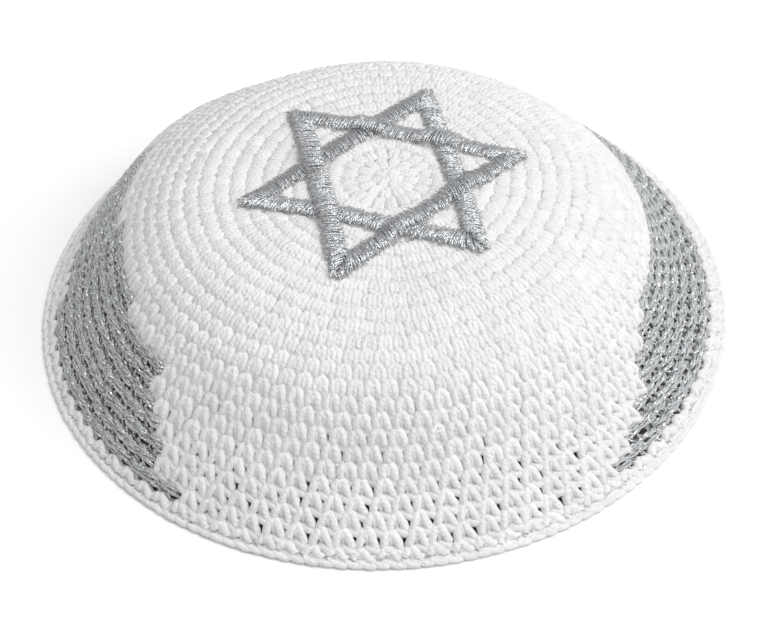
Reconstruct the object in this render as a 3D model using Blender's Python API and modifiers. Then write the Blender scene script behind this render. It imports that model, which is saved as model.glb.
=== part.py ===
"""Crocheted kippah skullcap: a white dome worked in the round, lying on its rim.

The dome is a shell one stitch thick with two windows, filled by silver colour-worked panels.
A slip-stitched edging finishes the rim, and two satin-stitched triangles cross on top as a star.
Metres, +Z up. The origin is the middle of the rim, on the surface that the cap rests on.
"""

import math

import bpy
import numpy as np
from mathutils import Vector

# The whole cap
RIM_RADIUS = 0.085
CAP_HEIGHT = 0.040
WALL = 0.0024
CLEARANCE = 0.0003
# The crown slumps a little towards the right and the front, by this much at its centre
SLUMP_RIGHT = 0.002
SLUMP_FRONT = 0.001

# Slope of the cloth in degrees, from level at the centre to the rim, one row for each direction
SHARE_FROM_CENTRE = (0.0, 0.2, 0.4, 0.55, 0.68, 0.8, 0.9, 1.0)
CLOTH_SLOPE = {
    "right": (0, 2, 6, 38, 60, 52, 41, 39),
    "back_right": (0, 2, 8, 41, 46, 46, 47, 55),
    "back": (0, 2, 8, 40, 56, 42, 41, 48),
    "back_left": (0, 3, 9, 30, 38, 54, 60, 52),
    "left": (0, 6, 5, 32, 49, 52, 46, 48),
    "front_left": (0, 3, 11, 28, 48, 49, 52, 56),
    "front": (0, 6, 10, 22, 58, 50, 44, 48),
    "front_right": (0, 1, 10, 31, 56, 56, 49, 43),
}

# The silver panels: where their edges lie between centre and rim, and the angles of their ends
PANEL_INNER_EDGE = 0.70
PANEL_OUTER_EDGE = 0.92
PANEL_ENDS = {
    # name: start and end at the inner edge, then start and end at the outer edge, in degrees
    "left_silver_crescent": (148, 218, 136, 231),
    "right_silver_crescent": (-24, 42, -49, 56),
}

# The star, measured along the cloth
STAR_TIP = 0.0354
STAR_BAR = 0.0042
STAR_PILE = 0.0011
STAR_TURN = 10
STAR_RAMP = 0.004

# The slip-stitched edging
EDGING_DEPTH = 1.6 * WALL
EDGING_BULGE_HEIGHT = 0.45 * WALL
EDGING_FOOT = 0.9 * WALL
EDGING_TOE = 0.2 * WALL

# How finely the surfaces are divided
ROUND_STEPS = 64
CLOTH_STEPS = 20
PANEL_STEPS = (18, 6)
STAR_STEPS = 30
PROFILE_STEPS = 160
# How far apart the points lie that give the direction square to the cloth
PROBE_STEP = 0.2 * WALL


def smooth_through(knots, values, at):
    """A smooth curve through values at knots, read at the points given."""
    knots = np.asarray(knots, float)
    values = np.asarray(values, float)
    tangents = np.gradient(values, knots)
    cell = np.clip(np.searchsorted(knots, at, side="right") - 1, 0, len(knots) - 2)
    width = knots[cell + 1] - knots[cell]
    u = (at - knots[cell]) / width
    start, end = values[cell], values[cell + 1]
    rise = (3 - 2 * u) * u**2
    ease_out = u * (1 - u) ** 2 * width * tangents[cell]
    ease_in = u**2 * (1 - u) * width * tangents[cell + 1]
    return start + (end - start) * rise + ease_out - ease_in


def slopes_towards(angle):
    """The slope at each share from centre to rim, in one direction given in degrees."""
    rows = np.array(list(CLOTH_SLOPE.values()), float)
    count = len(rows)
    place = (angle % 360) / 360 * count
    around = np.arange(-2, count + 3)
    return [smooth_through(around, rows[around % count, column], np.array(place))
            for column in range(rows.shape[1])]


class Profile:
    """The outer surface in one direction: radius and height at each share of the way along the cloth."""

    known = {}

    def __init__(self, angle):
        at = np.linspace(0, 1, PROFILE_STEPS + 1)
        slope = np.radians(smooth_through(SHARE_FROM_CENTRE, slopes_towards(angle), at))
        middle = (slope[1:] + slope[:-1]) / 2
        run = np.append(0, np.cumsum(np.cos(middle)))
        drop = np.append(0, np.cumsum(np.sin(middle)))
        self.radius = RIM_RADIUS * run / run[-1]
        self.height = CAP_HEIGHT * (1 - drop / drop[-1])
        steps = np.hypot(np.diff(self.radius), np.diff(self.height))
        self.along = np.append(0, np.cumsum(steps))
        self.length = self.along[-1]

    @classmethod
    def towards(cls, angle):
        key = round(angle % 360, 6)
        if key not in cls.known:
            cls.known[key] = cls(key)
        return cls.known[key]

    def at(self, distance):
        return (np.interp(distance, self.along, self.radius),
                np.interp(distance, self.along, self.height))


def on_cloth(angle, distance):
    """A point of the outer surface, by direction in degrees and distance along the cloth."""
    radius, height = Profile.towards(angle).at(distance)
    turn = math.radians(angle)
    slump = 1 - radius / RIM_RADIUS
    return Vector((radius * math.cos(turn) + SLUMP_RIGHT * slump,
                   radius * math.sin(turn) - SLUMP_FRONT * slump, height))


def above_cloth(angle, distance, lift):
    """A point at a height above the outer surface, measured square to it."""
    near = max(distance, 2 * PROBE_STEP)
    down = on_cloth(angle, near + PROBE_STEP) - on_cloth(angle, near - PROBE_STEP)
    side_step = math.degrees(PROBE_STEP / near)
    along = on_cloth(angle + side_step, near) - on_cloth(angle - side_step, near)
    normal = down.cross(along).normalized()
    return on_cloth(angle, distance) + normal * lift


def share_to_distance(angle, share):
    return share * Profile.towards(angle).length


def edging_start(angle):
    """How far along the cloth the edging begins."""
    return Profile.towards(angle).length - EDGING_DEPTH


def grid_faces(rows, columns, closed):
    """Faces between rows of points, each row with the same number of points."""
    last = columns if closed else columns - 1
    for row in range(rows - 1):
        for column in range(last):
            beside = (column + 1) % columns
            yield (row * columns + column, (row + 1) * columns + column,
                   (row + 1) * columns + beside, row * columns + beside)


def mesh_object(name, points, faces, material, collection):
    mesh = bpy.data.meshes.new(name)
    mesh.from_pydata([tuple(point) for point in points], [], list(faces))
    mesh.validate()
    mesh.shade_smooth()
    obj = bpy.data.objects.new(name, mesh)
    collection.objects.link(obj)
    if material:
        mesh.materials.append(material)
    return obj


def thicken(obj, thickness, offset):
    """Gives an open surface a wall. Offset -1 puts it inside, 1 outside and 0 on both sides."""
    solidify = obj.modifiers.new("wall", "SOLIDIFY")
    solidify.thickness = thickness
    solidify.offset = offset
    solidify.use_even_offset = True
    solidify.use_quality_normals = True


def finish_material(name, colour, roughness, metallic):
    material = bpy.data.materials.new(name)
    material.use_nodes = True
    shader = material.node_tree.nodes["Principled BSDF"]
    shader.inputs["Base Color"].default_value = (*colour, 1)
    shader.inputs["Roughness"].default_value = roughness
    shader.inputs["Metallic"].default_value = metallic
    material.diffuse_color = (*colour, 1)
    return material


def make_crown(material, collection):
    """The white dome, from its centre to just above the edging."""
    points = [on_cloth(0, 0)]
    for ring in range(1, CLOTH_STEPS + 1):
        for column in range(ROUND_STEPS):
            angle = 360 * column / ROUND_STEPS
            end = edging_start(angle) - CLEARANCE
            points.append(on_cloth(angle, end * ring / CLOTH_STEPS))
    faces = [(0, 1 + column, 1 + (column + 1) % ROUND_STEPS) for column in range(ROUND_STEPS)]
    faces += [tuple(1 + corner for corner in face)
              for face in grid_faces(CLOTH_STEPS, ROUND_STEPS, True)]
    crown = mesh_object("crown", points, faces, material, collection)
    thicken(crown, WALL, -1)
    return crown


def panel_patch(name, ends, grow, material, collection):
    """The outer surface of a silver panel, grown all round by the width given."""
    inner_start, inner_end, outer_start, outer_end = ends
    columns, rows = PANEL_STEPS
    widen = math.degrees(grow / (RIM_RADIUS * PANEL_INNER_EDGE))
    points = []
    for row in range(rows + 1):
        down = row / rows
        start = inner_start + (outer_start - inner_start) * down - widen
        end = inner_end + (outer_end - inner_end) * down + widen
        for column in range(columns + 1):
            angle = start + (end - start) * column / columns
            inner = share_to_distance(angle, PANEL_INNER_EDGE) - grow
            outer = share_to_distance(angle, PANEL_OUTER_EDGE) + grow
            points.append(on_cloth(angle, inner + (outer - inner) * down))
    return mesh_object(name, points, grid_faces(rows + 1, columns + 1, False), material, collection)


def make_panel(name, ends, crown, material, collection, cutters):
    """A silver panel, and the window in the crown that it fills."""
    panel = panel_patch(name, ends, 0, material, collection)
    thicken(panel, WALL, -1)
    cutter = panel_patch(name + "_window", ends, CLEARANCE, None, cutters)
    thicken(cutter, 3 * WALL, 0)
    cutter.hide_render = True
    cutter.display_type = "WIRE"
    window = crown.modifiers.new(name + "_window", "BOOLEAN")
    window.operation = "DIFFERENCE"
    window.solver = "EXACT"
    window.object = cutter


def make_edging(material, collection):
    """The slip-stitched ring at the rim, flat underneath."""
    points = []
    for column in range(ROUND_STEPS):
        angle = 360 * column / ROUND_STEPS
        turn = math.radians(angle)
        outward = Vector((math.cos(turn), math.sin(turn), 0))
        top = edging_start(angle)
        foot = RIM_RADIUS - EDGING_TOE
        points += [
            above_cloth(angle, top, 0),
            outward * RIM_RADIUS + Vector((0, 0, EDGING_BULGE_HEIGHT)),
            outward * foot,
            outward * (foot - EDGING_FOOT),
            above_cloth(angle, top, -WALL),
        ]
    corners = 5
    faces = []
    for column in range(ROUND_STEPS):
        here, there = column * corners, (column + 1) % ROUND_STEPS * corners
        for corner in range(corners):
            following = (corner + 1) % corners
            faces.append((here + corner, here + following, there + following, there + corner))
    return mesh_object("rim_edging", points, faces, material, collection)


def flat_corner(turn, reach):
    """A corner of the star on the cloth laid flat."""
    return np.array((math.cos(turn), math.sin(turn))) * reach


def bar_distance(place, tips, reach):
    """How far a place on the flat cloth lies from the middle of a triangle's nearest bar."""
    nearest = math.inf
    for first in range(3):
        start = flat_corner(tips[first], reach)
        end = flat_corner(tips[(first + 1) % 3], reach)
        along = (end - start) / np.linalg.norm(end - start)
        way = np.clip(np.dot(place - start, along), 0, np.linalg.norm(end - start))
        nearest = min(nearest, np.linalg.norm(place - start - along * way))
    return nearest


def make_triangle(name, first_tip, crossed_tips, material, collection):
    """A satin-stitched triangle. It rises over the bars of the triangle that it crosses."""
    tips = [math.radians(first_tip + 120 * corner) for corner in range(3)]
    # A side moved inwards by an inset brings its corners in by twice as much
    reaches = [STAR_TIP - 2 * inset for inset in (0, STAR_BAR / 2, STAR_BAR)]
    station = STAR_TIP * math.sqrt(3) / STAR_STEPS
    points = []
    for side in range(3):
        for step in range(STAR_STEPS):
            for reach in reaches:
                start = flat_corner(tips[side], reach)
                end = flat_corner(tips[(side + 1) % 3], reach)
                place = start + (end - start) * step / STAR_STEPS
                lift = CLEARANCE
                if crossed_tips:
                    off = bar_distance(place, crossed_tips, reaches[1]) - STAR_BAR / 2 - station
                    ramp = min(max(1 - off / STAR_RAMP, 0), 1)
                    lift += (STAR_PILE + CLEARANCE) * (3 - 2 * ramp) * ramp**2
                angle = math.degrees(math.atan2(place[1], place[0]))
                points.append(above_cloth(angle, np.linalg.norm(place), lift))
    stations = 3 * STAR_STEPS
    faces = []
    for row in range(stations):
        here, there = row * 3, (row + 1) % stations * 3
        for lane in (0, 1):
            faces.append((here + lane, there + lane, there + lane + 1, here + lane + 1))
    triangle = mesh_object(name, points, faces, material, collection)
    thicken(triangle, STAR_PILE, 1)
    return tips


def main():
    for obj in list(bpy.data.objects):
        bpy.data.objects.remove(obj, do_unlink=True)
    cap = bpy.data.collections.new("kippah_skullcap")
    cutters = bpy.data.collections.new("kippah_skullcap_cutters")
    for collection in (cap, cutters):
        bpy.context.scene.collection.children.link(collection)

    cotton = finish_material("white_cotton_yarn", (0.83, 0.83, 0.81), 0.85, 0.0)
    edging_cotton = finish_material("white_edging_yarn", (0.80, 0.80, 0.79), 0.85, 0.0)
    lurex = finish_material("silver_lurex_yarn", (0.42, 0.43, 0.45), 0.38, 0.7)
    under_silk = finish_material("silver_thread_under", (0.33, 0.33, 0.34), 0.35, 0.4)
    over_silk = finish_material("silver_thread_over", (0.36, 0.36, 0.37), 0.33, 0.4)

    crown = make_crown(cotton, cap)
    for name, ends in PANEL_ENDS.items():
        make_panel(name, ends, crown, lurex, cap, cutters)
    make_edging(edging_cotton, cap)
    under_tips = make_triangle("star_under_triangle", STAR_TURN + 60, None, under_silk, cap)
    make_triangle("star_over_triangle", STAR_TURN, under_tips, over_silk, cap)


main()
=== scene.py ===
"""Looks of a crocheted kippah skullcap: white rounds, silver panels, a slip-stitched rim and a satin star.

Metres, +Z up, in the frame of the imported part. Each visible strand of yarn is a tube of its real thickness.
"""

import math

import bpy
import numpy as np
from mathutils import Matrix, Vector


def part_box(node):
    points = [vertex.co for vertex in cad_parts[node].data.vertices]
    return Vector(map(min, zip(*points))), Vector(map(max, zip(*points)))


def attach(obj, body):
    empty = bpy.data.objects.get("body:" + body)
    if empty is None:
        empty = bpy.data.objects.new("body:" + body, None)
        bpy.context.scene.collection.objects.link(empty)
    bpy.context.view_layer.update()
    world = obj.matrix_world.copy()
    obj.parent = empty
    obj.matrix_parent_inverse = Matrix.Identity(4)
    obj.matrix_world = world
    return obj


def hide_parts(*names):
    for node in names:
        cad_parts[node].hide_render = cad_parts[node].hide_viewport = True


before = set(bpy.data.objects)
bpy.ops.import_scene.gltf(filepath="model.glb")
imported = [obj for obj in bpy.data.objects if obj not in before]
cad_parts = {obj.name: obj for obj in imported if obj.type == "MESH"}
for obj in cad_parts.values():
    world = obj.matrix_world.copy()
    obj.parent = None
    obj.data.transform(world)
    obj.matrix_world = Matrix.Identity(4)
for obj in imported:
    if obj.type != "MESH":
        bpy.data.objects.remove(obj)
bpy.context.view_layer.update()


# View, floor and lights
# The camera stands where the photograph was taken from: in front, 45 degrees up, turned a little clockwise.
# A pale matt floor and large soft lights, the stronger one from the right, leave almost no shadow.
PHOTO_WIDTH = 768
FOCAL_LENGTH_PIXELS = 1670.8
CAMERA_DISTANCE = 0.425
CAMERA_ELEVATION = math.radians(45.26)
CAMERA_ROLL = math.radians(-2.18)
CAMERA_TARGET = Vector((0.0, 0.0, -0.00846))
SENSOR_WIDTH = 36.0
FLOOR_SIDE = 6.0
WORLD_STRENGTH = 0.375


def linear(hex_colour):
    """An sRGB hex colour as linear red, green, blue and alpha."""
    parts = [int(hex_colour[i:i + 2], 16) / 255 for i in (0, 2, 4)]
    return (*[c / 12.92 if c <= 0.04045 else ((c + 0.055) / 1.055) ** 2.4 for c in parts], 1.0)


def add_node(tree, kind, inputs=None, **settings):
    """Adds a node with its settings. Each input is given a value, or a socket to be linked from."""
    node = tree.nodes.new(kind)
    node.location = (180 * (len(tree.nodes) % 12), -260 * (len(tree.nodes) // 12))
    for name, value in settings.items():
        setattr(node, name, value)
    for place, source in (inputs or {}).items():
        if isinstance(source, bpy.types.NodeSocket):
            tree.links.new(source, node.inputs[place])
        else:
            node.inputs[place].default_value = source
    return node


def new_material(name):
    """An empty material and its node tree."""
    material = bpy.data.materials.new(name)
    material.use_nodes = True
    material.node_tree.nodes.clear()
    return material, material.node_tree


def finish_material(tree, inputs):
    """Ends a material's tree with its shader, set to the inputs given."""
    shader = add_node(tree, "ShaderNodeBsdfPrincipled", inputs)
    add_node(tree, "ShaderNodeOutputMaterial", {"Surface": shader.outputs["BSDF"]})


back = Vector((0, -math.cos(CAMERA_ELEVATION), math.sin(CAMERA_ELEVATION)))
level_right = Vector((1, 0, 0))
level_up = back.cross(level_right)
camera_right = math.cos(CAMERA_ROLL) * level_right + math.sin(CAMERA_ROLL) * level_up
camera_up = math.cos(CAMERA_ROLL) * level_up - math.sin(CAMERA_ROLL) * level_right
camera_data = bpy.data.cameras.new("camera")
camera_data.sensor_width = SENSOR_WIDTH
camera_data.lens = SENSOR_WIDTH * FOCAL_LENGTH_PIXELS / PHOTO_WIDTH
camera = bpy.data.objects.new("camera", camera_data)
camera.matrix_world = (Matrix.Translation(CAMERA_TARGET + back * CAMERA_DISTANCE)
                       @ Matrix((camera_right, camera_up, back)).transposed().to_4x4())
bpy.context.scene.collection.objects.link(camera)
bpy.context.scene.camera = camera

floor_mesh = bpy.data.meshes.new("floor")
half = FLOOR_SIDE / 2
floor_corners = [(-half, -half, 0), (half, -half, 0), (half, half, 0), (-half, half, 0)]
floor_mesh.from_pydata(floor_corners, [], [(0, 1, 2, 3)])
floor = bpy.data.objects.new("floor", floor_mesh)
bpy.context.scene.collection.objects.link(floor)
paper, tree = new_material("white_paper_matt")
finish_material(tree, {"Base Color": linear("FDFDFD"), "Roughness": 0.9})
floor_mesh.materials.append(paper)

LIGHTS = {
    # place, side of its square in metres, and power in watts
    "key_softbox": ((0.72, -0.16, 0.98), 1.20, 13.0),
    "fill_softbox": ((-0.9, -0.3, 0.9), 0.9, 1.1),
    "top_softbox": ((0.0, 0.05, 1.25), 1.2, 3.5),
}
for name, (place, side, power) in LIGHTS.items():
    light_data = bpy.data.lights.new(name, "AREA")
    light_data.size = side
    light_data.energy = power
    light = bpy.data.objects.new(name, light_data)
    light.location = place
    light.rotation_euler = (-Vector(place)).to_track_quat("-Z", "Y").to_euler()
    bpy.context.scene.collection.objects.link(light)

world = bpy.data.worlds.new("studio")
world.use_nodes = True
world.node_tree.nodes["Background"].inputs["Color"].default_value = (1, 1, 1, 1)
world.node_tree.nodes["Background"].inputs["Strength"].default_value = WORLD_STRENGTH
bpy.context.scene.world = world
bpy.context.scene.view_settings.view_transform = "Standard"


# Crown
# Single crochet in matt white cotton, worked in the round from the centre out, 27 rounds to the rim. Stitches
# are short bumps round the centre and tight scales on the flat top. Further down they open into arches, with
# a loop below each one and small holes between them.
RIM_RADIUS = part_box("rim_edging")[1].x
CAP_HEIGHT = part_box("crown")[1].z
# The cloth has slumped this far at the centre, and not at all at the rim
SLUMP_RIGHT = 0.002
SLUMP_FRONT = 0.001
SHARE_FROM_CENTRE = (0.0, 0.2, 0.4, 0.55, 0.68, 0.8, 0.9, 1.0)
CLOTH_SLOPE = {
    # slope in degrees at those shares of the way to the rim, one row for each direction
    "right": (0, 2, 6, 38, 60, 52, 41, 39),
    "back_right": (0, 2, 8, 41, 46, 46, 47, 55),
    "back": (0, 2, 8, 40, 56, 42, 41, 48),
    "back_left": (0, 3, 9, 30, 38, 54, 60, 52),
    "left": (0, 6, 5, 32, 49, 52, 46, 48),
    "front_left": (0, 3, 11, 28, 48, 49, 52, 56),
    "front": (0, 6, 10, 22, 58, 50, 44, 48),
    "front_right": (0, 1, 10, 31, 56, 56, 49, 43),
}
PROFILE_STEPS = 160
DIRECTION_STEPS = 144
# The cloth's directions are measured over these small steps, in share of the way down and in degrees round
PROBE_SHARE = 0.004
PROBE_ANGLE = 0.25

ROUNDS = 27
EDGE_ROLL = 0.0009
STITCHES_ADDED_PER_ROUND = 6.6
MOST_STITCHES = 96
# Each stitch sits this share of its width to the side of the one above it
STITCH_LEAN = 0.234
COTTON_RADIUS = 0.00120
COTTON_SIDES = 6
# A stitch of this size has yarn of the full radius. Smaller ones have less, by this power of their area
LOOSE_WIDTH = 0.0054
LOOSE_HEIGHT = 0.0041
YARN_EASE = 0.28
CROWN_TONE_SEED = 7

# The strands of one stitch, from point to point. Each point has five values: across in stitch widths, aside
# in yarn radii, down in rounds, deep in yarn radii below the outer face, and thick as a share of the yarn
LOOSE_STITCH = (
    # both legs, which meet in an arch and spread below it
    ((-0.18, -0.35, 1.12, 1.95, 0.86), (-0.17, -0.38, 0.96, 1.30, 0.86), (-0.16, -0.42, 0.76, 1.10, 0.91),
     (-0.12, -0.48, 0.50, 1.02, 0.94), (-0.06, -0.54, 0.24, 1.00, 0.98), (-0.02, -0.46, 0.04, 1.08, 0.96),
     (0.00, -0.18, -0.06, 1.20, 0.94), (0.00, 0.18, -0.06, 1.20, 0.94), (0.03, 0.46, 0.03, 1.08, 0.96),
     (0.10, 0.54, 0.22, 1.00, 0.98), (0.20, 0.50, 0.48, 1.02, 0.91), (0.31, 0.44, 0.76, 1.10, 0.91),
     (0.37, 0.40, 0.96, 1.30, 0.86), (0.41, 0.38, 1.12, 1.95, 0.84)),
    # post between the legs, with a dent in the fork
    ((0.02, 0.00, 0.02, 1.50, 0.92), (0.03, 0.00, 0.22, 1.14, 0.98), (0.06, 0.00, 0.42, 1.40, 0.92),
     (0.09, 0.00, 0.66, 1.90, 0.90), (0.12, 0.00, 1.00, 1.60, 0.92)),
    # top loop, which lies across between the next round's arches
    ((0.02, 0.00, 1.00, 1.6, 0.86), (0.20, 0.00, 1.02, 1.22, 0.88), (0.33, 0.00, 1.08, 1.10, 0.91),
     (0.46, 0.00, 1.17, 1.20, 0.88), (0.58, 0.00, 1.27, 1.6, 0.86)),
    # back bar, behind the next stitch
    ((-0.56, 0.00, 1.12, 1.9, 1.00), (0.00, 0.00, 1.10, 1.8, 1.04), (0.56, 0.00, 1.12, 1.9, 1.00)),
)
TIGHT_STITCH = (
    # the same strands pulled close: broad flat legs, with the loop and the bar sunk below them
    ((0.02, -0.26, 1.06, 2.60, 0.88), (0.01, -0.46, 0.93, 1.76, 0.94), (0.00, -0.86, 0.76, 1.18, 1.10),
     (-0.01, -1.02, 0.50, 1.12, 1.14), (-0.01, -0.96, 0.28, 1.12, 1.14), (0.00, -0.62, 0.09, 1.14, 1.06),
     (0.00, -0.20, -0.02, 1.28, 0.98), (0.00, 0.20, -0.02, 1.28, 0.98), (0.01, 0.62, 0.08, 1.14, 1.06),
     (0.03, 0.96, 0.26, 1.12, 1.14), (0.06, 1.02, 0.48, 1.12, 1.14), (0.09, 0.86, 0.76, 1.18, 1.10),
     (0.11, 0.46, 0.93, 1.76, 0.94), (0.11, 0.26, 1.06, 2.60, 0.88)),
    ((0.00, 0.00, 0.00, 1.30, 1.00), (0.01, 0.00, 0.22, 1.14, 1.12), (0.03, 0.00, 0.50, 1.10, 1.16),
     (0.05, 0.00, 0.80, 1.30, 1.12), (0.06, 0.00, 1.06, 2.50, 0.96)),
    ((0.10, 0.00, 1.02, 2.7, 0.90), (0.22, 0.00, 1.10, 2.40, 0.94), (0.32, 0.00, 1.18, 2.20, 0.96),
     (0.41, 0.00, 1.28, 2.40, 0.94), (0.48, 0.00, 1.40, 2.7, 0.90)),
    ((-0.56, 0.00, 1.34, 2.6, 1.00), (0.00, 0.00, 1.32, 2.4, 1.00), (0.56, 0.00, 1.34, 2.6, 1.00)),
)
CENTRE_STITCH = (
    # round the centre there is no room for an arch, so each stitch is a short bump of two strands and a bar
    ((-0.02, -0.34, -0.08, 1.60, 1.15), (-0.01, -0.42, 0.16, 1.46, 1.30), (0.00, -0.44, 0.50, 1.38, 1.34),
     (0.02, -0.42, 0.84, 1.52, 1.28), (0.03, -0.34, 1.08, 1.90, 1.15)),
    ((-0.02, 0.34, -0.08, 1.60, 1.15), (0.00, 0.42, 0.16, 1.46, 1.30), (0.02, 0.44, 0.50, 1.38, 1.34),
     (0.04, 0.42, 0.84, 1.52, 1.28), (0.06, 0.34, 1.08, 1.90, 1.15)),
    ((-0.56, 0.00, 1.04, 1.8, 1.10), (0.00, 0.00, 1.02, 1.7, 1.10), (0.56, 0.00, 1.04, 1.8, 1.10)),
)

# In the last round nothing is worked below the stitch: its legs are shorter and end at the edging, and a
# bar of the edging's yarn shows between two arches
LAST_LEG_SPREAD = 1.08
LAST_LEG_START = 0.14
LAST_LEG_LENGTH = 0.68
LAST_LEG_DEEPEST = 1.35
LAST_LEG_THICK = 1.06
LAST_BAR = ((0.22, 0.00, 0.52, 1.90, 0.95), (0.50, 0.00, 0.42, 1.50, 0.98), (0.78, 0.00, 0.52, 1.90, 0.95))

# Some of the stitches at the sides are worked in silver yarn and not in cotton
SILVER_ENDS = {
    # round, and the directions in degrees where its silver starts and ends
    "left_silver_crescent": ((19, 176, 204), (20, 150, 219), (25, 136, 229), (26, 182, 233)),
    "right_silver_crescent": ((20, -26, 43), (25, -47, 54), (26, -50, 50)),
}


def blended_stitch(looseness):
    """A stitch between the tight form of the top and the loose form of the rim."""
    return tuple(tuple(tuple(t + (s - t) * looseness for t, s in zip(tight_point, loose_point))
                       for tight_point, loose_point in zip(tight, loose))
                 for tight, loose in zip(TIGHT_STITCH, LOOSE_STITCH))


def last_stitch():
    """A stitch of the last round: the loose form's legs, shortened, and the bar between two arches."""
    legs = [tuple((LAST_LEG_SPREAD * across, aside, LAST_LEG_START + LAST_LEG_LENGTH * down,
                   min(deep, LAST_LEG_DEEPEST), LAST_LEG_THICK * thick)
                  for across, aside, down, deep, thick in strand) for strand in blended_stitch(1.0)[:2]]
    return (*legs, LAST_BAR)


def smooth_through(knots, values, at):
    """A smooth curve through values at knots, read at the points given."""
    knots = np.asarray(knots, float)
    values = np.asarray(values, float)
    tangents = np.gradient(values, knots)
    cell = np.clip(np.searchsorted(knots, at, side="right") - 1, 0, len(knots) - 2)
    width = knots[cell + 1] - knots[cell]
    u = (at - knots[cell]) / width
    start, end = values[cell], values[cell + 1]
    rise = (3 - 2 * u) * u**2
    ease_out = u * (1 - u) ** 2 * width * tangents[cell]
    ease_in = u**2 * (1 - u) * width * tangents[cell + 1]
    return start + (end - start) * rise + ease_out - ease_in


def cloth_profiles():
    """Radius, height and length of the cloth, a row for each direction and a column for each share."""
    rows = np.array(list(CLOTH_SLOPE.values()), float)
    places = np.arange(DIRECTION_STEPS + 1) / DIRECTION_STEPS * len(rows)
    around = np.arange(-2, len(rows) + 3)
    knots = np.stack([smooth_through(around, rows[around % len(rows), column], places)
                      for column in range(rows.shape[1])], axis=1)
    shares = np.linspace(0, 1, PROFILE_STEPS + 1)
    radii, heights, lengths = [], [], []
    for slopes in knots:
        slope = np.radians(smooth_through(SHARE_FROM_CENTRE, slopes, shares))
        middle = (slope[1:] + slope[:-1]) / 2
        run = np.append(0, np.cumsum(np.cos(middle)))
        drop = np.append(0, np.cumsum(np.sin(middle)))
        radius = RIM_RADIUS * run / run[-1]
        height = CAP_HEIGHT * (1 - drop / drop[-1])
        along = np.append(0, np.cumsum(np.hypot(np.diff(radius), np.diff(height))))
        radii.append(np.interp(shares * along[-1], along, radius))
        heights.append(np.interp(shares * along[-1], along, height))
        lengths.append(along[-1])
    return np.array(radii), np.array(heights), np.array(lengths)


PROFILE_RADII, PROFILE_HEIGHTS, CLOTH_LENGTHS = cloth_profiles()


def cloth_length(angle):
    """How long the cloth is from the centre to the rim, towards each angle in degrees."""
    return np.interp(np.asarray(angle) % 360, np.linspace(0, 360, DIRECTION_STEPS + 1), CLOTH_LENGTHS)


def cloth_points(angle, share):
    """Points of the outer face, by angle in degrees and share of the way from the centre to the rim."""
    angle = np.asarray(angle, float)
    row = (angle % 360) / 360 * DIRECTION_STEPS
    column = np.clip(share, 0, 1) * PROFILE_STEPS
    low_row = np.clip(row.astype(int), 0, DIRECTION_STEPS - 1)
    low_column = np.clip(column.astype(int), 0, PROFILE_STEPS - 1)
    u, v = row - low_row, column - low_column
    radius, height = [
        (1 - u) * (1 - v) * table[low_row, low_column] + u * (1 - v) * table[low_row + 1, low_column]
        + (1 - u) * v * table[low_row, low_column + 1] + u * v * table[low_row + 1, low_column + 1]
        for table in (PROFILE_RADII, PROFILE_HEIGHTS)]
    slump = 1 - radius / RIM_RADIUS
    turn = np.radians(angle)
    return np.stack([radius * np.cos(turn) + SLUMP_RIGHT * slump,
                     radius * np.sin(turn) - SLUMP_FRONT * slump, height], axis=-1)


def unit(vectors):
    """The same directions, one long."""
    return vectors / np.linalg.norm(vectors, axis=-1, keepdims=True)


def cloth_directions(angle, share):
    """Unit vectors at places of the outer face: round the cap, down to the rim, and square to the cloth."""
    share = np.clip(share, PROBE_SHARE, 1 - PROBE_SHARE)
    down = unit(cloth_points(angle, share + PROBE_SHARE) - cloth_points(angle, share - PROBE_SHARE))
    side_step = PROBE_ANGLE / share
    along = unit(cloth_points(angle + side_step, share) - cloth_points(angle - side_step, share))
    out = unit(np.cross(down, along))
    return along, down, out


def strand_template(name, strands):
    """An object with a line for each strand, and at each point its place in the stitch and its thickness."""
    points, edges, asides, thick = [], [], [], []
    for strand in strands:
        first = len(points)
        for across, aside, down, deep, thickness in strand:
            points.append((across, down, deep))
            asides.append(aside)
            thick.append(thickness)
        edges += [(i, i + 1) for i in range(first, len(points) - 1)]
    mesh = bpy.data.meshes.new(name)
    mesh.from_pydata(points, edges, [])
    mesh.attributes.new("aside", "FLOAT", "POINT").data.foreach_set("value", asides)
    mesh.attributes.new("thick", "FLOAT", "POINT").data.foreach_set("value", thick)
    template = bpy.data.objects.new(name, mesh)
    bpy.context.scene.collection.objects.link(template)
    return template


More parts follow.
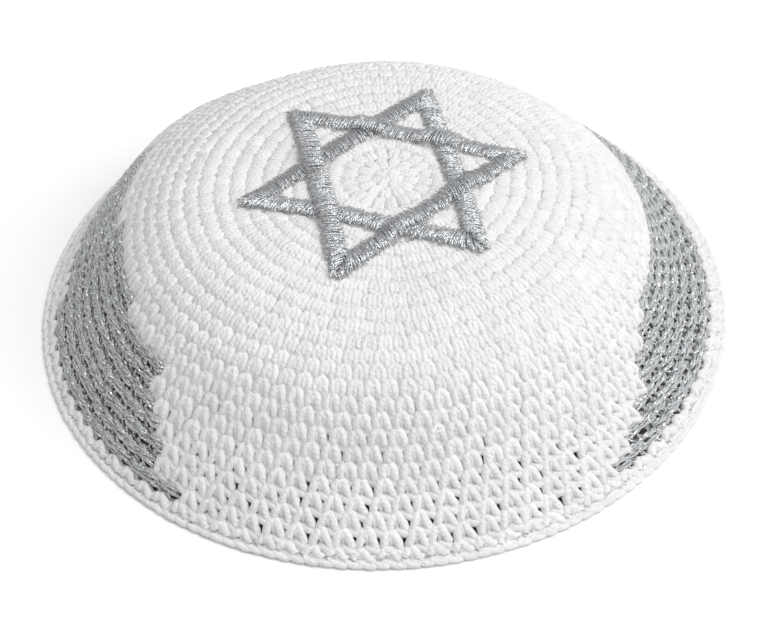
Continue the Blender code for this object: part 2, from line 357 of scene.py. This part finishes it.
def yarn_tree():
    """Geometry Nodes that work a stitch at each point: its strands, bent to the cloth, as tubes."""
    tree = bpy.data.node_groups.new("yarn_stitches", "GeometryNodeTree")
    sockets = (("Stitches", "Geometry"), ("Strands", "Object"), ("Yarn radius", "Float"), ("Sides", "Int"),
               ("Stitch unevenness", "Float"), ("Strand unevenness", "Float"), ("Seed", "Int"),
               ("Yarn", "Material"))
    for name, kind in sockets:
        tree.interface.new_socket(name, in_out="INPUT", socket_type="NodeSocket" + kind)
    tree.interface.new_socket("Work", in_out="OUTPUT", socket_type="NodeSocketGeometry")
    given = add_node(tree, "NodeGroupInput").outputs

    def attribute(name, kind):
        return add_node(tree, "GeometryNodeInputNamedAttribute", {"Name": name}, data_type=kind).outputs[0]

    def vector(operation, *values):
        inputs = dict(enumerate(values))
        if operation == "SCALE":
            inputs = {0: values[0], 3: values[1]}
        return add_node(tree, "ShaderNodeVectorMath", inputs, operation=operation).outputs[0]

    def number(operation, *values):
        return add_node(tree, "ShaderNodeMath", dict(enumerate(values)), operation=operation).outputs[0]

    # Chance moves each stitch and each point of its strands a little
    chance = {0: (-1, -1, -1), 1: (1, 1, 1), 8: given["Seed"]}
    stitch_chance = add_node(tree, "FunctionNodeRandomValue", chance, data_type="FLOAT_VECTOR").outputs[0]
    stitches = add_node(tree, "GeometryNodeStoreNamedAttribute",
                        {0: given["Stitches"], 2: "chance", 3: stitch_chance}, data_type="FLOAT_VECTOR")
    strands = add_node(tree, "GeometryNodeObjectInfo", {0: given["Strands"]})
    place = add_node(tree, "GeometryNodeInputPosition").outputs[0]
    placed = add_node(tree, "GeometryNodeStoreNamedAttribute",
                      {0: strands.outputs["Geometry"], 2: "place", 3: place}, data_type="FLOAT_VECTOR")
    worked = add_node(tree, "GeometryNodeInstanceOnPoints",
                      {"Points": stitches.outputs[0], "Instance": placed.outputs[0]})
    lines = add_node(tree, "GeometryNodeRealizeInstances", {0: worked.outputs[0]})

    # Bend the strands from the template's shares to the stitch's own width, height and direction
    point_chance = add_node(tree, "FunctionNodeRandomValue", chance, data_type="FLOAT_VECTOR").outputs[0]
    stitch_shift = vector("SCALE", attribute("chance", "FLOAT_VECTOR"), given["Stitch unevenness"])
    point_shift = vector("SCALE", point_chance, given["Strand unevenness"])
    moved = vector("ADD", attribute("place", "FLOAT_VECTOR"), vector("ADD", stitch_shift, point_shift))
    parts = add_node(tree, "ShaderNodeSeparateXYZ", {0: moved}).outputs
    fan = number("MULTIPLY_ADD", attribute("taper", "FLOAT"), number("SUBTRACT", parts["Y"], 0.5), 1.0)
    across = attribute("across", "FLOAT_VECTOR")
    yarn_radius = number("MULTIPLY", attribute("ease", "FLOAT"), given["Yarn radius"])
    offset = number("MULTIPLY", attribute("aside", "FLOAT"), yarn_radius)
    sideways = vector("ADD", vector("SCALE", across, number("MULTIPLY", parts["X"], fan)),
                      vector("SCALE", vector("NORMALIZE", across), offset))
    downwards = vector("SCALE", attribute("down", "FLOAT_VECTOR"), number("SUBTRACT", parts["Y"], 0.5))
    depth = number("MULTIPLY", parts["Z"], yarn_radius)
    inwards = vector("SCALE", attribute("out", "FLOAT_VECTOR"), number("MULTIPLY", depth, -1.0))
    sited = vector("ADD", vector("ADD", attribute("centre", "FLOAT_VECTOR"), sideways),
                   vector("ADD", downwards, inwards))
    # Yarn that would reach below the rim is pressed flat on the table
    site = add_node(tree, "ShaderNodeSeparateXYZ", {0: sited}).outputs
    lowest = number("MULTIPLY", attribute("thick", "FLOAT"), yarn_radius)
    rested = add_node(tree, "ShaderNodeCombineXYZ",
                      {0: site["X"], 1: site["Y"], 2: number("MAXIMUM", site["Z"], lowest)}).outputs[0]
    bent = add_node(tree, "GeometryNodeSetPosition", {"Geometry": lines.outputs[0], "Position": rested})

    # Tubes, which remember where each place is round the yarn and along it
    curves = add_node(tree, "GeometryNodeMeshToCurve", {0: bent.outputs[0]})
    length = add_node(tree, "GeometryNodeSplineParameter").outputs["Length"]
    measured = add_node(tree, "GeometryNodeStoreNamedAttribute",
                        {0: curves.outputs[0], 2: "along", 3: length}, data_type="FLOAT")
    circle = add_node(tree, "GeometryNodeCurvePrimitiveCircle", {"Resolution": given["Sides"], "Radius": 1.0})
    section = add_node(tree, "GeometryNodeStoreNamedAttribute",
                       {0: circle.outputs[0], 2: "section", 3: place}, data_type="FLOAT_VECTOR")
    radius = number("MULTIPLY", attribute("thick", "FLOAT"), yarn_radius)
    tubes = add_node(tree, "GeometryNodeCurveToMesh",
                     {"Curve": measured.outputs[0], "Profile Curve": section.outputs[0], "Scale": radius,
                      "Fill Caps": True})
    smooth = add_node(tree, "GeometryNodeSetShadeSmooth", {0: tubes.outputs[0], "Shade Smooth": True})
    real = add_node(tree, "GeometryNodeRealizeInstances", {0: smooth.outputs[0]})
    finished = add_node(tree, "GeometryNodeSetMaterial", {0: real.outputs[0], "Material": given["Yarn"]})
    add_node(tree, "NodeGroupOutput", {0: finished.outputs[0]})
    return tree


YARN_TREE = yarn_tree()


def work_yarn(name, stitches, strands, inputs):
    """Works the strands at each stitch and returns the plain mesh object."""
    template = strand_template(name + "_template", strands)
    mesh = bpy.data.meshes.new(name)
    mesh.from_pydata([tuple(point) for point in stitches["centre"]], [], [])
    for key, values in stitches.items():
        kind, field = ("FLOAT_VECTOR", "vector") if values.ndim == 2 else ("FLOAT", "value")
        mesh.attributes.new(key, kind, "POINT").data.foreach_set(field, values.astype(np.float32).ravel())
    points = bpy.data.objects.new(name + "_points", mesh)
    bpy.context.scene.collection.objects.link(points)
    modifier = points.modifiers.new("yarn", "NODES")
    modifier.node_group = YARN_TREE
    for key, value in {"Strands": template, **inputs}.items():
        modifier[YARN_TREE.interface.items_tree[key].identifier] = value
    graph = bpy.context.evaluated_depsgraph_get()
    worked = bpy.data.meshes.new_from_object(points.evaluated_get(graph))
    bpy.data.objects.remove(points)
    bpy.data.objects.remove(template)
    worked.name = name
    piece = bpy.data.objects.new(name, worked)
    bpy.context.scene.collection.objects.link(piece)
    return piece


def cell_stitches(round_number, index, count):
    """Where stitches lie, with the directions and size of each one's cell, and their angles in degrees."""
    round_share = (1 - EDGE_ROLL / RIM_RADIUS) / ROUNDS
    angle = 360 * (index - STITCH_LEAN * round_number) / count
    share = (round_number - 0.5) * round_share
    along, down, out = cloth_directions(angle, share)
    centre = cloth_points(angle, share)
    chord = cloth_points(angle + PROBE_ANGLE, share) - cloth_points(angle - PROBE_ANGLE, share)
    width = np.linalg.norm(chord, axis=-1) / (2 * PROBE_ANGLE) * 360 / count
    height = round_share * cloth_length(angle)
    return {
        "centre": centre,
        "across": along * width[:, None],
        "down": down * height[:, None],
        "out": out,
        "ease": (width * height / (LOOSE_WIDTH * LOOSE_HEIGHT)) ** YARN_EASE,
        "taper": 1 / (round_number - 0.5),
        "tone": np.random.default_rng(CROWN_TONE_SEED).uniform(-1, 1, len(index)),
    }, angle


def crown_layout():
    """Round number, place in the round and number of stitches of each stitch of the crown."""
    rounds, places, counts = [], [], []
    for round_number in range(1, ROUNDS + 1):
        count = min(MOST_STITCHES, round(STITCHES_ADDED_PER_ROUND * round_number))
        rounds += [round_number] * count
        places += list(range(count))
        counts += [count] * count
    return np.array(rounds, float), np.array(places, float), np.array(counts, float)


# Radians of twist for each metre of yarn: a turn in 3.1 mm
COTTON_TWIST = 2000.0
COTTON_PLIES = 3.0
# Tufts of fibre for each metre: one in 0.8 mm, coarser than the real ones, so that they show
COTTON_TUFTS = 1200.0
# How much of the relief the plies make, its height in metres, and how strongly it shows
PLY_HEIGHT = 0.05
COTTON_RELIEF = 0.0008
COTTON_SOFTNESS = 0.55


def cotton_material():
    """Matt spun cotton: soft plies wound together, pale and even, with a slight bloom of loose fibre."""
    material, tree = new_material("matt_spun_cotton")
    section = add_node(tree, "ShaderNodeAttribute", attribute_name="section").outputs["Vector"]
    along = add_node(tree, "ShaderNodeAttribute", attribute_name="along").outputs["Fac"]
    tone = add_node(tree, "ShaderNodeAttribute", attribute_name="tone").outputs["Fac"]
    parts = add_node(tree, "ShaderNodeSeparateXYZ", {0: section}).outputs
    turn = add_node(tree, "ShaderNodeMath", {0: parts["Y"], 1: parts["X"]}, operation="ARCTAN2")
    twist = add_node(tree, "ShaderNodeMath", {0: along, 1: COTTON_TWIST, 2: turn.outputs[0]},
                     operation="MULTIPLY_ADD")
    plies = add_node(tree, "ShaderNodeMath", {0: twist.outputs[0], 1: COTTON_PLIES}, operation="MULTIPLY")
    ply = add_node(tree, "ShaderNodeMath", {0: plies.outputs[0]}, operation="SINE")
    place = add_node(tree, "ShaderNodeTexCoord").outputs["Object"]
    fibre = add_node(tree, "ShaderNodeTexNoise", {"Vector": place, "Scale": COTTON_TUFTS, "Detail": 3.0})
    height = add_node(tree, "ShaderNodeMath", {0: ply.outputs[0], 1: PLY_HEIGHT, 2: fibre.outputs["Fac"]},
                      operation="MULTIPLY_ADD")
    bump = add_node(tree, "ShaderNodeBump", {"Height": height.outputs[0], "Distance": COTTON_RELIEF,
                                             "Strength": COTTON_SOFTNESS})
    share = add_node(tree, "ShaderNodeMapRange", {"Value": tone, "From Min": -1.0, "From Max": 1.0})
    colour = add_node(tree, "ShaderNodeMix", {0: share.outputs[0], 6: linear("E1E1E1"), 7: linear("E9E9E9")},
                      data_type="RGBA")
    finish_material(tree, {"Base Color": colour.outputs[2], "Roughness": 0.9, "Specular IOR Level": 0.15,
                           "Sheen Weight": 0.1, "Sheen Roughness": 0.5, "Normal": bump.outputs[0]})
    return material


def panel_choice(ends, rounds, angles):
    """True for the stitches that belong to a silver panel."""
    knots, starts, ends = np.array(ends).T
    start = np.interp(rounds, knots, starts)
    end = np.interp(rounds, knots, ends)
    inside = (angles - start) % 360 < end - start
    return inside & (rounds >= knots[0]) & (rounds <= knots[-1])


def picked(stitches, chosen):
    """The chosen stitches, with all that is known of each."""
    return {key: values[chosen] for key, values in stitches.items()}


cotton = cotton_material()
rounds, places, counts = crown_layout()
stitches, angles = cell_stitches(rounds, places, counts)
silver_stitches = {name: panel_choice(ends, rounds, angles) for name, ends in SILVER_ENDS.items()}
white = ~np.any(list(silver_stitches.values()), axis=0)
CROWN_PIECES = (
    # name, first round, last round, and the strands of its stitch
    ("crown_centre_stitches", 1, 3, CENTRE_STITCH),
    ("crown_top_stitches", 4, 12, blended_stitch(0.0)),
    ("crown_shoulder_stitches", 13, 17, blended_stitch(0.3)),
    ("crown_side_stitches", 18, 22, blended_stitch(0.65)),
    ("crown_low_stitches", 23, ROUNDS - 1, blended_stitch(1.0)),
    ("crown_last_round", ROUNDS, ROUNDS, last_stitch()),
)
crown_yarn = {"Yarn radius": COTTON_RADIUS, "Sides": COTTON_SIDES, "Stitch unevenness": 0.065,
              "Strand unevenness": 0.04, "Seed": 5, "Yarn": cotton}
for name, first_round, last_round, strands in CROWN_PIECES:
    chosen = (rounds >= first_round) & (rounds <= last_round) & white
    part = work_yarn(name, picked(stitches, chosen), strands, crown_yarn)
    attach(part, "root")
    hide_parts("crown")


# Silver panels
# The same rounds go on through both sides in metallised yarn, from round 19 to 26, and end in slanting steps.
# It is four thin plies wound together, stiffer than cotton, so it lies flat along the round and leaves dark
# slits, which short loops cross.
SILVER_RADIUS = 0.00096
SILVER_PLIES = 4
SILVER_PLY_SHARE = 0.44
# The plies make this many turns in so many points of a ply, which has more points than the strand it follows
SILVER_TURNS = 2.2
SILVER_TURN_POINTS = 13
SILVER_MORE_POINTS = 1.5
SILVER_STRANDS = (
    # the two strands along the round: across, aside, down, deep, thick
    ((-0.60, 0.00, 0.18, 2.20, 0.80), (-0.36, 0.00, 0.20, 1.15, 0.92), (-0.04, 0.00, 0.27, 0.95, 1.00),
     (0.28, 0.00, 0.35, 1.02, 0.98), (0.58, 0.00, 0.46, 2.20, 0.80)),
    ((-0.58, 0.00, 0.56, 1.90, 0.78), (-0.30, 0.00, 0.58, 1.25, 0.86), (0.04, 0.00, 0.64, 1.05, 0.92),
     (0.34, 0.00, 0.70, 1.25, 0.88), (0.62, 0.00, 0.76, 1.90, 0.78)),
    # short loops that cross the slit to the next round
    ((0.12, 0.00, 0.66, 1.50, 0.46), (0.14, 0.00, 0.84, 0.95, 0.52), (0.18, 0.00, 1.02, 0.95, 0.52),
     (0.22, 0.00, 1.18, 1.60, 0.46)),
    ((-0.34, 0.00, 0.60, 1.60, 0.44), (-0.30, 0.00, 0.82, 1.15, 0.50), (-0.24, 0.00, 1.00, 1.15, 0.50),
     (-0.20, 0.00, 1.14, 1.70, 0.44)),
)
SILVER_BACK = (
    ((-0.56, 0.00, 1.30, 2.6, 0.90), (0.00, 0.00, 1.28, 2.4, 0.95), (0.56, 0.00, 1.30, 2.6, 0.90)),
)


def plied(strands):
    """Strands of one stitch as thin plies that wind round each strand's middle line."""
    wound = []
    for strand in strands:
        points = np.array(strand)
        at = np.linspace(0, len(points) - 1, round(SILVER_MORE_POINTS * len(points)))
        fine = np.stack([np.interp(at, np.arange(len(points)), column) for column in points.T], axis=1)
        run = np.gradient(fine[:, 0]) * LOOSE_WIDTH, np.gradient(fine[:, 2]) * LOOSE_HEIGHT
        heading = np.arctan2(run[1], run[0])
        for ply in range(SILVER_PLIES):
            phase = 2 * math.pi * (SILVER_TURNS * at / SILVER_TURN_POINTS + ply / SILVER_PLIES)
            sideways = np.cos(phase) * SILVER_PLY_SHARE * fine[:, 4]
            ply_points = fine.copy()
            ply_points[:, 1] += sideways * np.sin(heading)
            ply_points[:, 2] -= sideways * np.cos(heading) * SILVER_RADIUS / LOOSE_HEIGHT
            ply_points[:, 3] += np.sin(phase) * SILVER_PLY_SHARE * fine[:, 4]
            ply_points[:, 4] *= SILVER_PLY_SHARE
            wound.append([tuple(point) for point in ply_points])
    return tuple(wound)


# Facets of the film for each metre: one in 0.3 mm, which is the width of the film. It comes to the surface
# in flecks, one in 0.7 mm, and between them the fibre shows
SILVER_FACETS = 3200.0
SILVER_FACET_TILT = 0.75
SILVER_FLECKS = 1500.0
SILVER_FLECK_START = 0.56
SILVER_FLECK_FULL = 0.61


def film_facets(tree, place, facets, tilt_share):
    """Flat facets of metal film: a random colour for each one, and the normal tilted its own way on each."""
    facet = add_node(tree, "ShaderNodeTexVoronoi", {"Vector": place, "Scale": facets}).outputs["Color"]
    spread = add_node(tree, "ShaderNodeVectorMath", {0: facet, 1: (0.5, 0.5, 0.5)}, operation="SUBTRACT")
    tilt = add_node(tree, "ShaderNodeVectorMath", {0: spread.outputs[0], 3: tilt_share}, operation="SCALE")
    normal = add_node(tree, "ShaderNodeNewGeometry").outputs["Normal"]
    tilted = add_node(tree, "ShaderNodeVectorMath", {0: normal, 1: tilt.outputs[0]}, operation="ADD")
    level = add_node(tree, "ShaderNodeVectorMath", {0: tilted.outputs[0]}, operation="NORMALIZE")
    return facet, level.outputs[0]


def silver_yarn_material():
    """Metallised yarn: grey fibre wound with flat silver film, whose facets flash one by one."""
    material, tree = new_material("metallised_silver_yarn")
    place = add_node(tree, "ShaderNodeTexCoord").outputs["Object"]
    normal = film_facets(tree, place, SILVER_FACETS, SILVER_FACET_TILT)[1]
    fleck = add_node(tree, "ShaderNodeTexNoise", {"Vector": place, "Scale": SILVER_FLECKS, "Detail": 1.0})
    film = add_node(tree, "ShaderNodeMapRange",
                    {"Value": fleck.outputs["Fac"],
                     "From Min": SILVER_FLECK_START, "From Max": SILVER_FLECK_FULL})
    colour = add_node(tree, "ShaderNodeMix", {0: film.outputs[0], 6: linear("B6B8BA"), 7: linear("E9EBEB")},
                      data_type="RGBA")
    finish_material(tree, {"Base Color": colour.outputs[2], "Metallic": film.outputs[0], "Roughness": 0.32,
                           "Normal": normal})
    return material


silver_yarn = silver_yarn_material()
silver_strands = plied(SILVER_STRANDS) + SILVER_BACK
panel_yarn = {"Yarn radius": SILVER_RADIUS, "Sides": 4, "Stitch unevenness": 0.09,
              "Strand unevenness": 0.08, "Seed": 3, "Yarn": silver_yarn}
for name, chosen in silver_stitches.items():
    panel = work_yarn(name + "_stitches", picked(stitches, chosen), silver_strands, panel_yarn)
    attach(panel, "root")
    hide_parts(name)


# Rim edging
# A round of slip stitches in the same cotton closes the rim. Each link is a pair of long strands that lie
# along the edge, one outside and one inside, and its end slips under the next link.
EDGING_BAND = 0.0016
EDGING_RADIUS = 0.00078
EDGING_LINKS = 168
EDGING_TONE_SEED = 11
EDGING_STRANDS = (
    # slanting strand outside, then the strand inside: across, aside, down, deep, thick
    ((-0.78, 0.0, -0.05, 1.6, 0.88), (-0.40, 0.0, 0.18, 1.10, 0.98), (0.00, 0.0, 0.46, 0.98, 1.02),
     (0.40, 0.0, 0.74, 1.10, 0.98), (0.78, 0.0, 0.95, 1.6, 0.88)),
    ((-0.62, 0.0, 0.60, 3.0, 0.95), (0.0, 0.0, 0.50, 2.7, 1.05), (0.62, 0.0, 0.55, 3.0, 0.95)),
)

link_angles = np.arange(EDGING_LINKS) * 360 / EDGING_LINKS
share = 1 - EDGING_BAND / 2 / cloth_length(link_angles)
along, down, out = cloth_directions(link_angles, share)
links = {
    "centre": cloth_points(link_angles, share),
    "across": along * (2 * math.pi * RIM_RADIUS / EDGING_LINKS),
    "down": down * EDGING_BAND,
    "out": out,
    "taper": np.zeros(EDGING_LINKS),
    "ease": np.ones(EDGING_LINKS),
    "tone": np.random.default_rng(EDGING_TONE_SEED).uniform(-1, 1, EDGING_LINKS),
}
edging = work_yarn("rim_slip_stitches", links, EDGING_STRANDS,
                   {"Yarn radius": EDGING_RADIUS, "Sides": 6, "Stitch unevenness": 0.06,
                    "Strand unevenness": 0.05, "Seed": 9, "Yarn": cotton})
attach(edging, "root")
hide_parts("rim_edging")


# Star
# Two triangles of satin stitch in silver thread, sewn through the finished cap. Threads lie side by side
# across each bar over a soft padding, their ends uneven, and the second triangle crosses over the first.
# On the cloth laid flat: centre to tip, width and height of a bar, and the turn in degrees
STAR_TIP = 0.0354
STAR_BAR = 0.0042
STAR_PILE = 0.0011
STAR_TURN = 10
# The second triangle starts to rise this far from the first, and clears it by this much
STAR_RAMP = 0.004
CLEARANCE = 0.0003
THREAD_RADIUS = 0.00015
THREAD_PITCH = 0.00021
# Threads slant a little along a bar, and more and more towards its tips
THREAD_SLANT = 0.18
TIP_SLANT = 1.1
TIP_REACH = 0.009
TIP_CUT = 0.0010
TIP_OVERLAP = 0.0010
# Threads start 0.2 mm outside the bar, and their ends are uneven by the second value
THREAD_INSET = -0.0002
THREAD_RAGGED = 0.00060
# Short threads near the tips bulge less, by this power of their share of a full length, which is at least 0.1
LEAST_LENGTH_SHARE = 0.1
FULLNESS_POWER = 0.5
THREAD_STRAND = (
    # across, aside, down, deep, thick: a low arch over the padding, with both ends sunk in the crown
    ((-0.52, 0.0, 0.5, 1.0, 0.6), (-0.43, 0.0, 0.5, -2.2, 0.9), (-0.26, 0.0, 0.5, -4.2, 1.0),
     (0.00, 0.0, 0.5, -4.8, 1.0), (0.26, 0.0, 0.5, -4.2, 1.0), (0.43, 0.0, 0.5, -2.2, 0.9),
     (0.52, 0.0, 0.5, 1.0, 0.6)),
)


def star_tips(first_angle):
    """The outer corners of a triangle on the cloth laid flat."""
    turn = np.radians(first_angle + np.array((0, 120, 240)))
    return STAR_TIP * np.stack([np.cos(turn), np.sin(turn)], axis=-1)


def bars(corners):
    """The start, direction and length of each bar of a triangle."""
    for start, end in zip(corners, np.roll(corners, -1, axis=0)):
        length = np.linalg.norm(end - start)
        yield start, (end - start) / length, length


def from_bars(places, tips):
    """How far places on the flat cloth lie from the middle lines of a triangle's bars."""
    nearest = np.full(len(places), np.inf)
    for start, direction, length in bars(tips * (1 - STAR_BAR / STAR_TIP)):
        way = np.clip((places - start) @ direction, 0, length)
        nearest = np.minimum(nearest, np.linalg.norm(places - start - way[:, None] * direction, axis=1))
    return nearest


def on_flat_cloth(places):
    """Points and directions of the outer face at places of the cloth laid flat."""
    angle = np.degrees(np.arctan2(places[:, 1], places[:, 0]))
    share = np.linalg.norm(places, axis=1) / cloth_length(angle)
    return cloth_points(angle, share), cloth_directions(angle, share)[2]


def satin_threads(tips, crossed, chance):
    """The threads of a triangle, from its outer edge to its inner edge, with their ends a little ragged."""
    outer, inner = [], []
    for start, direction, length in bars(tips):
        inward = np.array((-direction[1], direction[0]))
        way = np.arange(TIP_CUT, length - TIP_CUT, THREAD_PITCH)
        to_corner = np.minimum(way, length - way)
        width = np.minimum(STAR_BAR - THREAD_INSET, to_corner / math.sqrt(3) + TIP_OVERLAP)
        ragged = chance.uniform(-THREAD_RAGGED, THREAD_RAGGED, (3, len(way)))
        towards_tip = np.clip(1 - to_corner / TIP_REACH, 0, 1) * np.where(way < length / 2, -1, 1)
        slant = (TIP_SLANT * towards_tip - THREAD_SLANT * (1 - abs(towards_tip))) * width
        inner_way = np.clip(way - slant + ragged[2], 0, length)
        outer.append(start + way[:, None] * direction + (THREAD_INSET + ragged[0])[:, None] * inward)
        inner.append(start + inner_way[:, None] * direction + (width + ragged[1])[:, None] * inward)
    outer, inner = np.concatenate(outer), np.concatenate(inner)
    lift = np.full(len(outer), CLEARANCE)
    if crossed is not None:
        off = from_bars((outer + inner) / 2, crossed) - STAR_BAR / 2
        ramp = np.clip(1 - off / STAR_RAMP, 0, 1)
        lift += (STAR_PILE + CLEARANCE) * (3 - 2 * ramp) * ramp**2
    outer_points, outer_out = on_flat_cloth(outer)
    inner_points, inner_out = on_flat_cloth(inner)
    across = outer_points - inner_points
    out = unit(outer_out + inner_out)
    length_share = np.linalg.norm(across, axis=1) / STAR_BAR
    fullness = np.clip(length_share, LEAST_LENGTH_SHARE, 1) ** FULLNESS_POWER
    return {
        "centre": (outer_points + inner_points) / 2 + out * lift[:, None],
        "across": across,
        "down": unit(np.cross(out, across)) * THREAD_PITCH,
        "out": out * fullness[:, None],
        "taper": np.zeros(len(outer)),
        "ease": np.ones(len(outer)),
        "tone": chance.uniform(-1, 1, len(outer)),
    }


# Facets for each metre: a turn of the film in 0.23 mm. Those with a high random value are bare film
SATIN_FACETS = 4400.0
SATIN_FACET_TILT = 0.55
SATIN_FILM_START = 0.38
SATIN_FILM_FULL = 0.42


def satin_material():
    """Rayon thread wound with silver film: each turn of the film is a small facet that can flash."""
    material, tree = new_material("metallised_satin_thread")
    tone = add_node(tree, "ShaderNodeAttribute", attribute_name="tone").outputs["Fac"]
    place = add_node(tree, "ShaderNodeTexCoord").outputs["Object"]
    facet, normal = film_facets(tree, place, SATIN_FACETS, SATIN_FACET_TILT)
    film = add_node(tree, "ShaderNodeMapRange", {"Value": facet, "From Min": SATIN_FILM_START,
                                                 "From Max": SATIN_FILM_FULL})
    share = add_node(tree, "ShaderNodeMapRange", {"Value": tone, "From Min": -1.0, "From Max": 1.0})
    fibre = add_node(tree, "ShaderNodeMix", {0: share.outputs[0], 6: linear("8C8E91"), 7: linear("9C9EA1")},
                     data_type="RGBA")
    colour = add_node(tree, "ShaderNodeMix", {0: film.outputs[0], 6: fibre.outputs[2], 7: linear("E8EAEC")},
                      data_type="RGBA")
    finish_material(tree, {"Base Color": colour.outputs[2], "Metallic": film.outputs[0], "Roughness": 0.40,
                           "Normal": normal})
    return material


satin = satin_material()
under_tips = star_tips(STAR_TURN + 60)
over_tips = star_tips(STAR_TURN)
TRIANGLES = (
    # name, its tips, the triangle that it crosses over, and seed
    ("star_under_triangle", under_tips, None, 21),
    ("star_over_triangle", over_tips, under_tips, 22),
)
for name, tips, crossed, seed in TRIANGLES:
    threads = satin_threads(tips, crossed, np.random.default_rng(seed))
    triangle = work_yarn(name + "_threads", threads, THREAD_STRAND,
                         {"Yarn radius": THREAD_RADIUS, "Sides": 4, "Stitch unevenness": 0.0,
                          "Strand unevenness": 0.01, "Seed": seed, "Yarn": satin})
    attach(triangle, "root")
    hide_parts(name)
